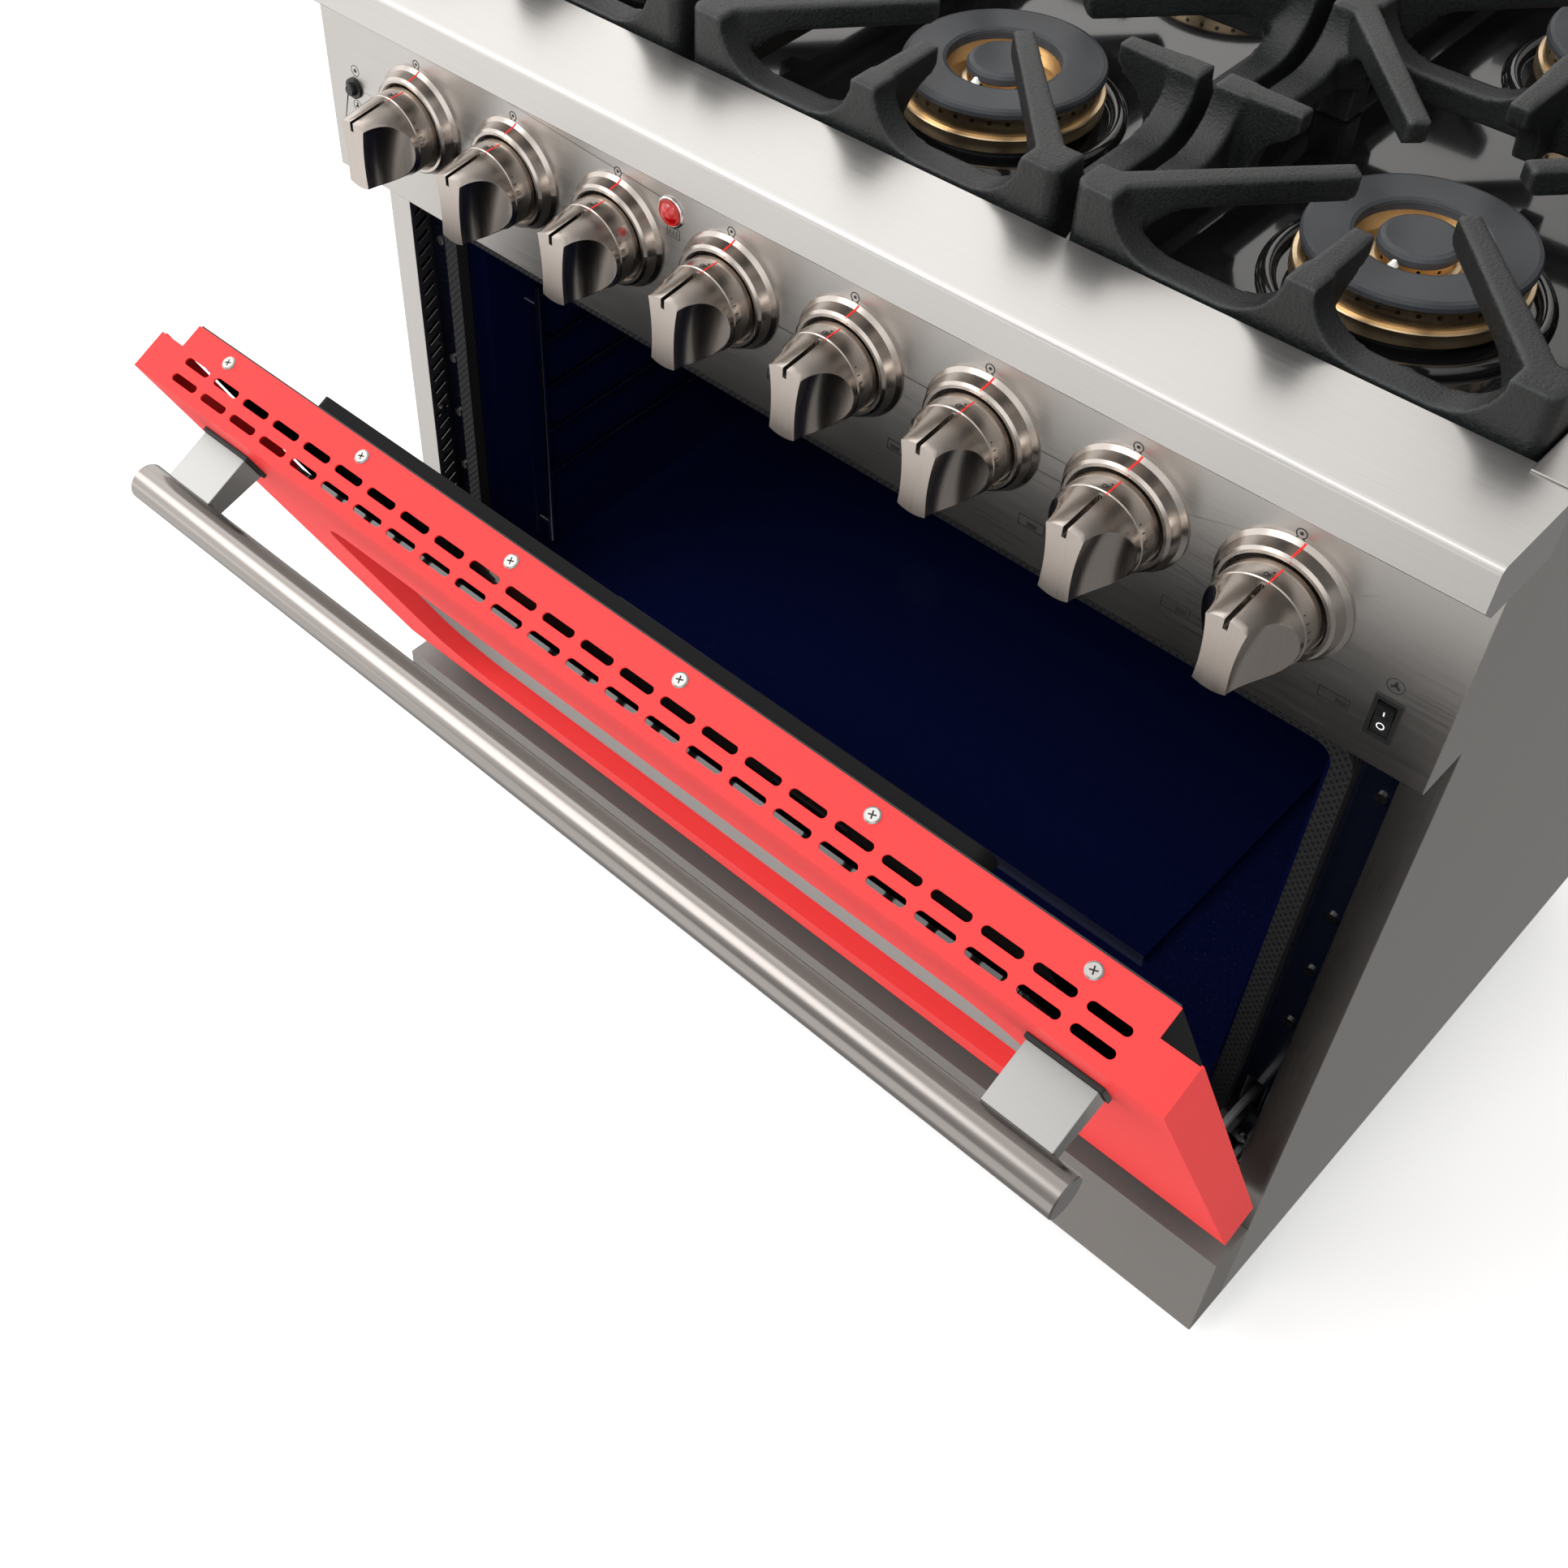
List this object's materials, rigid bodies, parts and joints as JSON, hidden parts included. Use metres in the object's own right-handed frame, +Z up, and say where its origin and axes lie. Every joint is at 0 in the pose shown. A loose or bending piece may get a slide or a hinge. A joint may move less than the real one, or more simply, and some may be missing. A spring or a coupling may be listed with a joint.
{
  "type": "freestanding gas range",
  "caption": "Freestanding gas range with a brass-burner cooktop under cast grates, a row of front control knobs and a wide convection oven with a drop-down red door.",
  "frame": {"origin": "on the floor under the middle of the whole range as stored, with the door part open", "axes": "+X to the right seen from the front, +Y towards the back, +Z up"},
  "size_m": [0.911, 0.9575, 0.9483],
  "materials": {
    "stainless": "brushed along X",
    "galvanised": "plain",
    "black_enamel": "gloss",
    "blue_enamel": "gloss",
    "insulation": "mat",
    "gasket": "braided",
    "chrome_wire": "polished",
    "lamp_glass": "frosted",
    "brass": "turned",
    "ceramic": "glazed",
    "black_plastic": "fine grain",
    "knob_steel": "turned and brushed",
    "red_lens": "clear",
    "cast_base": "cast",
    "cap_enamel": "matt enamel",
    "screws": "plated",
    "red_paint": "gloss",
    "dark_glass": "tinted",
    "black_paint": "satin",
    "handle_steel": "brushed",
    "fan_metal": "stamped",
    "cast_iron": "sand cast, matt enamel"
  },
  "bodies": {
    "cabinet": {"left_side_panel": "stainless", "right_side_panel": "stainless", "back_panel": "galvanised", "base_pan": "galvanised", "legs": "galvanised", "kick_plate": "stainless", "control_panel": "stainless", "top_ledge": "stainless", "cooktop_pan": "black_enamel", "side_rails": "stainless", "rear_trim": "stainless", "face_frame": "blue_enamel", "oven_liner": "blue_enamel", "oven_floor_panel": "blue_enamel", "insulation_wrap": "insulation", "oven_gasket": "gasket", "rack_guides": "chrome_wire", "bake_burner": "galvanised", "broil_burner": "galvanised", "fan_cover": "blue_enamel", "fan_motor": "galvanised", "oven_lamp": "lamp_glass", "gas_manifold": "galvanised", "gas_valves": "brass", "ignition_module": "ceramic", "power_inlet": "black_plastic", "knob_bezels": "knob_steel", "indicator_lamp": "red_lens", "switch_frames": "black_plastic", "burner_bases": "cast_base", "burner_rings": "brass", "outer_caps": "cap_enamel", "inner_caps": "cap_enamel", "igniters": "ceramic", "hinge_receivers": "galvanised", "cabinet_screws": "screws"},
    "door": {"door_skin": "red_paint", "door_window_glass": "dark_glass", "door_inner_frame": "black_paint", "door_inner_glass": "dark_glass", "handle_tube": "handle_steel", "handle_posts": "handle_steel", "handle_pads": "black_plastic", "door_screws": "screws", "hinge_arms": "galvanised"},
    "convection_fan": {"convection_fan": "fan_metal"},
    "knob_1": {"knob_1": "knob_steel"},
    "knob_2": {"knob_2": "knob_steel"},
    "knob_3": {"knob_3": "knob_steel"},
    "knob_4": {"knob_4": "knob_steel"},
    "knob_5": {"knob_5": "knob_steel"},
    "knob_6": {"knob_6": "knob_steel"},
    "knob_7": {"knob_7": "knob_steel"},
    "knob_8": {"knob_8": "knob_steel"},
    "rocker_left": {"rocker_left": "black_plastic"},
    "rocker_right": {"rocker_right": "black_plastic"},
    "push_button": {"push_button": "black_plastic"},
    "grate_left": {"grate_left": "cast_iron"},
    "grate_middle": {"grate_middle": "cast_iron"},
    "grate_right": {"grate_right": "cast_iron"}
  },
  "joints": [
    {"name": "door_hinge", "type": "hinge", "parent": "cabinet", "child": "door", "pos_m": [0, -0.18622, 0.226], "axis": [1, 0, 0], "range_deg": [-26, 62]},
    {"name": "knob_1_turn", "type": "hinge", "parent": "cabinet", "child": "knob_1", "pos_m": [-0.35, -0.22122, 0.806], "axis": [0, -1, 0], "range_deg": [0, 270]},
    {"name": "knob_2_turn", "type": "hinge", "parent": "cabinet", "child": "knob_2", "pos_m": [-0.25, -0.22122, 0.806], "axis": [0, -1, 0], "range_deg": [0, 270]},
    {"name": "knob_3_turn", "type": "hinge", "parent": "cabinet", "child": "knob_3", "pos_m": [-0.15, -0.22122, 0.806], "axis": [0, -1, 0], "range_deg": [0, 270]},
    {"name": "knob_4_turn", "type": "hinge", "parent": "cabinet", "child": "knob_4", "pos_m": [-0.05, -0.22122, 0.806], "axis": [0, -1, 0], "range_deg": [0, 270]},
    {"name": "knob_5_turn", "type": "hinge", "parent": "cabinet", "child": "knob_5", "pos_m": [0.05, -0.22122, 0.806], "axis": [0, -1, 0], "range_deg": [0, 270]},
    {"name": "knob_6_turn", "type": "hinge", "parent": "cabinet", "child": "knob_6", "pos_m": [0.15, -0.22122, 0.806], "axis": [0, -1, 0], "range_deg": [0, 270]},
    {"name": "knob_7_turn", "type": "hinge", "parent": "cabinet", "child": "knob_7", "pos_m": [0.25, -0.22122, 0.806], "axis": [0, -1, 0], "range_deg": [0, 270]},
    {"name": "knob_8_turn", "type": "hinge", "parent": "cabinet", "child": "knob_8", "pos_m": [0.35, -0.22122, 0.806], "axis": [0, -1, 0], "range_deg": [0, 270]},
    {"name": "rocker_left_tilt", "type": "hinge", "parent": "cabinet", "child": "rocker_left", "pos_m": [-0.422, -0.21922, 0.763], "axis": [-1, 0, 0], "range_deg": [0, 16]},
    {"name": "rocker_right_tilt", "type": "hinge", "parent": "cabinet", "child": "rocker_right", "pos_m": [0.422, -0.21922, 0.763], "axis": [-1, 0, 0], "range_deg": [0, 16]},
    {"name": "push_button_press", "type": "slide", "parent": "cabinet", "child": "push_button", "axis": [0, 1, 0], "range_m": [0, 0.0025], "stiffness_N_per_m": 300, "springref_m": -0.001},
    {"name": "fan_spin", "type": "hinge", "parent": "cabinet", "child": "convection_fan", "pos_m": [0, 0.35678, 0.455], "axis": [0, -1, 0], "continuous": true},
    {"name": "grate_left_lift", "type": "slide", "parent": "cabinet", "child": "grate_left", "axis": [0, 0, 1], "range_m": [0, 0.15]},
    {"name": "grate_middle_lift", "type": "slide", "parent": "cabinet", "child": "grate_middle", "axis": [0, 0, 1], "range_m": [0, 0.15]},
    {"name": "grate_right_lift", "type": "slide", "parent": "cabinet", "child": "grate_right", "axis": [0, 0, 1], "range_m": [0, 0.15]}
  ]
}
